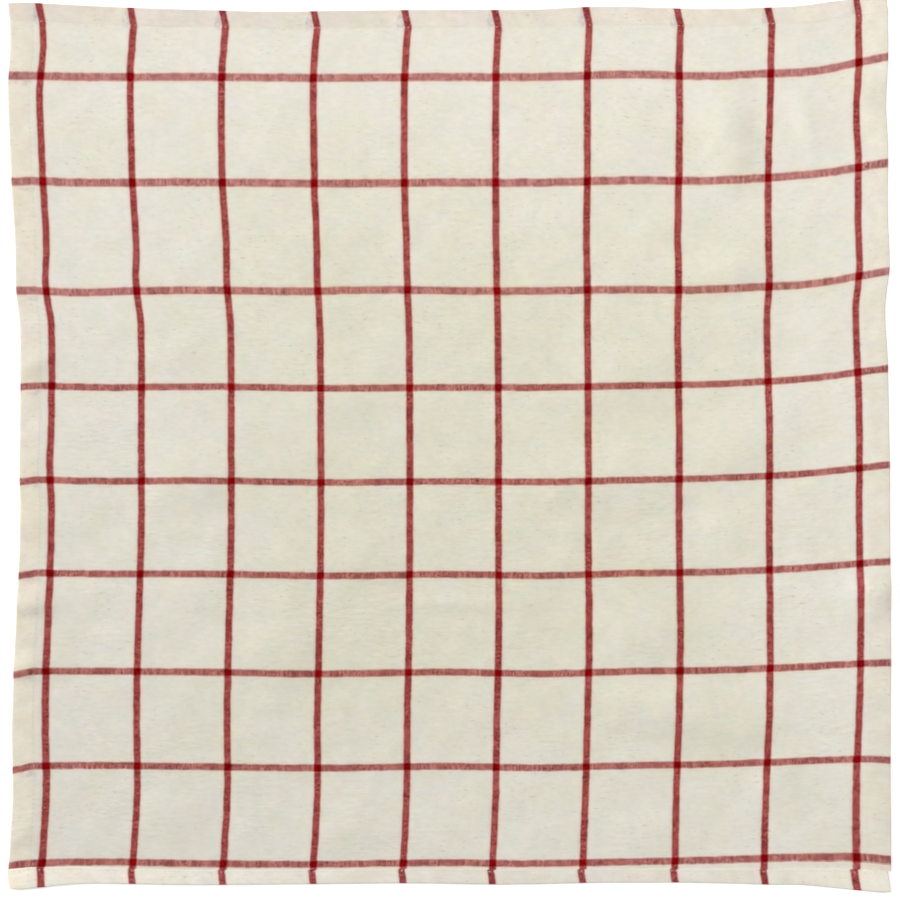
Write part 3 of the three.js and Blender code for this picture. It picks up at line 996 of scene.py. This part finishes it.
def cloth_material():
    """Plain weave of cream threads with red ones in thin stripes both ways."""
    graph = Graph("checked_cloth")
    across, down, layers = graph.split(graph.attribute("weave"))

    # Threads wander a little, so they are counted after a slow push to either side
    push_right = wander(graph, "push_right", across, down)
    push_down = wander(graph, "push_down", across, down)
    ends = graph.times_and_add(across, float(ENDS_PER_CHECK), push_right)
    picks = graph.times_and_add(down, float(PICKS_PER_CHECK), push_down)
    end = graph.math("FLOOR", ends)
    pick = graph.math("FLOOR", picks)

    # Over and under: where an end rises the pick that crosses it falls
    end_turn = graph.subtract(graph.add(end, picks), 0.5)
    pick_turn = graph.add(graph.add(pick, ends), 0.5)
    end_top = thread_top(graph, graph.math("COSINE", graph.times(end_turn, math.pi)), ends)
    pick_top = thread_top(graph, graph.math("COSINE", graph.times(pick_turn, math.pi)), picks)
    end_over = graph.add(graph.subtract(end_top, pick_top), END_COVER)
    end_shows = graph.remap(end_over, *READ_END_SHOWS)

    # Uneven dye and cover along the stripes: rungs one thread wide, and slower changes
    column = graph.math("ROUND", across)
    row = graph.math("ROUND", down)
    rungs_down = vary(graph, "rungs_down", end, pick, column)
    rungs_across = vary(graph, "rungs_across", end, pick, row)
    uneven_down = stripe_unevenness(graph, rungs_down, vary(graph, "slow_down", column, down))
    uneven_across = stripe_unevenness(graph, rungs_across, vary(graph, "slow_across", across, row))

    # Red threads, cream ones that red shows through, and a blush on the cream beside them
    end_off = from_stripe(graph, end, ENDS_PER_CHECK)
    pick_off = from_stripe(graph, pick, PICKS_PER_CHECK)
    red_end = red_stripe(graph, end_off)
    narrowing = graph.remap(down, *LOOSE_ROWS, 0.0, -TIGHT_NARROWING)
    red_pick = red_stripe(graph, pick_off, narrowing)
    nearest_off = graph.math("MINIMUM", end_off, pick_off)
    blush = red_stripe(graph, nearest_off, BLUSH_REACH)
    cream = graph.partly_dyed(blush, cream_colour(graph, across, down, pick), BLUSH)
    over_picks = graph.mix(graph.remap(down, *LOOSE_ROWS), OVER_RED_PICKS_TOP, OVER_RED_PICKS)
    veil_down = graph.times(red_end, graph.times_and_add(uneven_down, UNEVEN_VEIL, 1.0))
    veil_across = graph.times(red_pick, graph.times_and_add(uneven_across, UNEVEN_VEIL, 1.0))
    end_colour = graph.dyed(cream, graph.mix(veil_across, WHITE, over_picks))
    pick_colour = graph.dyed(cream, graph.mix(veil_down, WHITE, OVER_RED_ENDS))
    end_colour = graph.mix(red_end, end_colour, RED)
    pick_colour = graph.mix(red_pick, pick_colour, RED)
    woven = graph.mix(end_shows, pick_colour, end_colour)
    woven = graph.mix(graph.times(red_end, red_pick), woven, CRIMSON)
    uneven = graph.add(graph.times(uneven_down, red_end), graph.times(uneven_across, red_pick))
    dye = graph.times_and_add(uneven, UNEVEN_DYE, 1.0)
    woven = graph.dyed(woven, graph.join(dye, dye, dye))
    for band in STRIPE_SIDES:
        beside = graph.larger(in_band(graph, end_off, band), in_band(graph, pick_off, band))
        woven = graph.partly_dyed(beside, woven, band["shade"])

    # Small dark and light specks on the stripes, where the weave lets shadow or cream through
    any_red = graph.larger(red_end, red_pick)
    specks = vary(graph, "specks", ends, picks)
    dark = graph.times(graph.remap(specks, *READ_DARK_SPECKS), any_red)
    light = graph.times(graph.remap(specks, *READ_LIGHT_SPECKS), any_red)
    woven = graph.partly_dyed(dark, woven, DARK_SPECK)
    woven = graph.partly_dyed(light, woven, LIGHT_SPECK)

    # On the hems stripes are darker, and the cloth is mottled and has its own tint, which also holds
    # painted light and shade along the hems and painted shade at the top fold. Stripes of the turned layers
    # show through two of them
    woven = graph.partly_dyed(graph.times(layers, any_red), woven, HEM_RED)
    hem_mottling = graph.remap(vary(graph, "hem_mottling", across, down), *READ_HEM_MOTTLING)
    woven = graph.partly_dyed(layers, woven, graph.mix(hem_mottling, HEM_DULL, HEM_BRIGHT))
    woven = graph.dyed(woven, graph.attribute("tint"))
    ghost_patches = graph.remap(vary(graph, "ghost_patches", across, down), *READ_GHOST_PATCHES)
    uncovered = graph.times(ghost_patches, graph.subtract(1.0, any_red))
    for name in GHOSTS:
        place, shows, _ = graph.split(graph.attribute(name + "_ghost"))
        ghost = graph.remap(graph.math("PINGPONG", place, 0.5), *READ_GHOST_STRIPE)
        ghost = graph.times(graph.times(ghost, shows), uncovered)
        woven = graph.dyed(woven, graph.mix(ghost, WHITE, GHOST_TINT))
    graph.set(Base_Color=woven, **CLOTH_FINISH)

    # Patches of small crinkles along the picks lie over the threads' own relief
    crinkled = graph.remap(vary(graph, "crinkle_patches", across, down), *READ_CRINKLE_PATCHES)
    crinkle_height = graph.times_and_add(crinkled, CRINKLE_PATCHES, CRINKLE_LEAST)
    crinkle = graph.times(vary(graph, "crinkles", across, down), crinkle_height)
    relief = graph.add(graph.larger(end_top, pick_top), crinkle)
    graph.bump(relief, THREAD_HEIGHT * MM, WEAVE_STRENGTH)
    return graph.material


def thread_material():
    """Cream sewing thread with a fine fuzz."""
    graph = Graph("sewing_thread")
    coordinates = graph.tree.nodes.new("ShaderNodeTexCoord")
    fuzz = graph.noise(coordinates.outputs["Object"], **FUZZ)
    graph.set(Base_Color=graph.mix(fuzz, THREAD_DARK, THREAD_LIGHT), **THREAD_FINISH)
    graph.bump(fuzz, FUZZ_HEIGHT * MM, FUZZ_STRENGTH)
    return graph.material


def floor_material():
    """Plain white paper, lit evenly."""
    graph = Graph("pale_floor")
    graph.set(Base_Color=FLOOR_WHITE, Emission_Color=WHITE, **FLOOR_FINISH)
    return graph.material


# Stage

# Lamps aimed at the napkin's middle: a strong one, low and far off at the upper left, which shows the
# ripples, and weaker ones round the cloth that even out its light
LAMPS = (
    dict(name="key_box", place=(-2400, 900, 1300), size=700, power=61.5),
    dict(name="far_box", place=(0, 650, 500), size=450, power=1.52),
    dict(name="right_box", place=(700, 0, 850), size=450, power=4.52),
    dict(name="left_box", place=(-800, 0, 500), size=450, power=0.4),
    dict(name="near_box", place=(0, -850, 550), size=500, power=1),
)
WORLD_LIGHT = 0.25


def make_floor():
    """A wide floor just under the cloth."""
    half = FLOOR_SIDE / 2
    corners = [(-half, -half), (half, -half), (half, half), (-half, half)]
    points = [(x, y, -FLOOR_DROP) for x, y in corners]
    floor = new_mesh("floor", points, [(0, 1, 2, 3)], floor_material())


def make_camera():
    """Straight above, with the photograph's frame."""
    data = bpy.data.cameras.new("camera")
    data.lens = CAMERA_LENS
    data.sensor_width = CAMERA_SENSOR
    camera = bpy.data.objects.new("camera", data)
    height = PHOTO_SIZE * MM_PER_PIXEL * CAMERA_LENS / CAMERA_SENSOR
    x = (PHOTO_SIZE / 2 - MIDDLE_PIXEL[0]) * MM_PER_PIXEL - MIDDLE_X
    y = (MIDDLE_PIXEL[1] - PHOTO_SIZE / 2) * MM_PER_PIXEL - MIDDLE_Y
    camera.location = (x * MM, y * MM, height * MM)
    bpy.context.scene.collection.objects.link(camera)
    bpy.context.scene.camera = camera


def add_softbox(name, place, size, power):
    """A large square lamp aimed at the napkin's middle."""
    data = bpy.data.lights.new(name, "AREA")
    data.shape = "SQUARE"
    data.size = size * MM
    data.energy = power
    lamp = bpy.data.objects.new(name, data)
    lamp.location = [x * MM for x in place]
    lamp.rotation_mode = "QUATERNION"
    lamp.rotation_quaternion = (-lamp.location).to_track_quat("-Z", "Y")
    bpy.context.scene.collection.objects.link(lamp)


def light_scene():
    """An even white surround and the lamps."""
    world = bpy.data.worlds.new("studio")
    world.use_nodes = True
    background = world.node_tree.nodes["Background"]
    background.inputs["Color"].default_value = WHITE
    background.inputs["Strength"].default_value = WORLD_LIGHT
    bpy.context.scene.world = world
    bpy.context.scene.view_settings.view_transform = "Standard"
    for lamp in LAMPS:
        add_softbox(**lamp)


cloth = make_cloth(cloth_material())
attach(cloth, "root")
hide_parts("napkin")

stitches = make_stitches(thread_material())
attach(stitches, "root")

make_floor()
make_camera()
light_scene()
